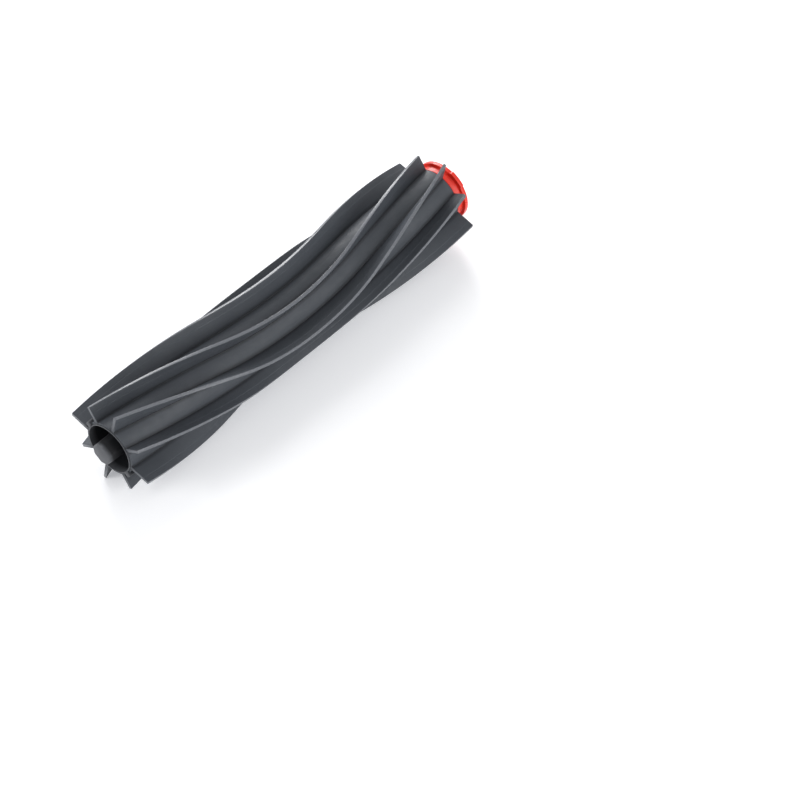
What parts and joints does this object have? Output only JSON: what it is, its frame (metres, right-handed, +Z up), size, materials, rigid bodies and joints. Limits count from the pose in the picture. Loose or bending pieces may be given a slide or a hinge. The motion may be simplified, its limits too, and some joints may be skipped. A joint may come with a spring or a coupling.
{
  "type": "robot vacuum roller brush",
  "caption": "Rubber roller brush with chevron blades, a square drive post at one end and a pull-off bearing cap at the other, for a robot vacuum cleaner.",
  "frame": {"origin": "on the roller's axis, in the plane where the rubber blades end at the drive end", "axes": "+X along the axis from the drive end to the idle end, +Z up as it lies on a table"},
  "size_m": [0.1882, 0.0382, 0.0382],
  "materials": {
    "blade_rubber": "matt dark grey moulded rubber",
    "core_plastic": "fine moulded grain, dark grey",
    "plug_plastic": "fine moulded grain, mid grey",
    "cap_plastic": "satin orange-red",
    "bearing_steel": "ground and polished",
    "shield_steel": "pressed sheet",
    "axle_steel": "turned",
    "clip_steel": "oiled spring steel",
    "felt": "pressed felt",
    "block_plastic": "black, low friction"
  },
  "bodies": {
    "roller": {"blade_sleeve": "blade_rubber", "core_tube": "core_plastic", "drive_plug": "plug_plastic"},
    "cap": {"end_cap": "cap_plastic", "bearing_outer_ring": "bearing_steel", "inner_shield": "shield_steel", "outer_shield": "shield_steel", "dust_felt": "felt"},
    "ball_set": {"bearing_cage": "shield_steel", "bearing_ball_1": "bearing_steel", "bearing_ball_2": "bearing_steel", "bearing_ball_3": "bearing_steel", "bearing_ball_4": "bearing_steel", "bearing_ball_5": "bearing_steel", "bearing_ball_6": "bearing_steel", "bearing_ball_7": "bearing_steel"},
    "idle": {"bearing_inner_ring": "bearing_steel", "idle_axle": "axle_steel", "thrust_washer": "axle_steel", "retaining_clip": "clip_steel", "idle_block": "block_plastic"}
  },
  "joints": [
    {"name": "cap_pull", "type": "slide", "parent": "roller", "child": "cap", "axis": [1, 0, 0], "range_m": [0, 0.03]},
    {"name": "idle_spin", "type": "hinge", "parent": "cap", "child": "idle", "pos_m": [0.176, 0, 0], "axis": [1, 0, 0], "continuous": true},
    {"name": "cage_spin", "type": "hinge", "parent": "cap", "child": "ball_set", "pos_m": [0.176, 0, 0], "axis": [1, 0, 0], "continuous": true}
  ],
  "couplings": [
    {"joint": "cage_spin", "follows": "idle_spin", "ratio": 0.35564}
  ]
}
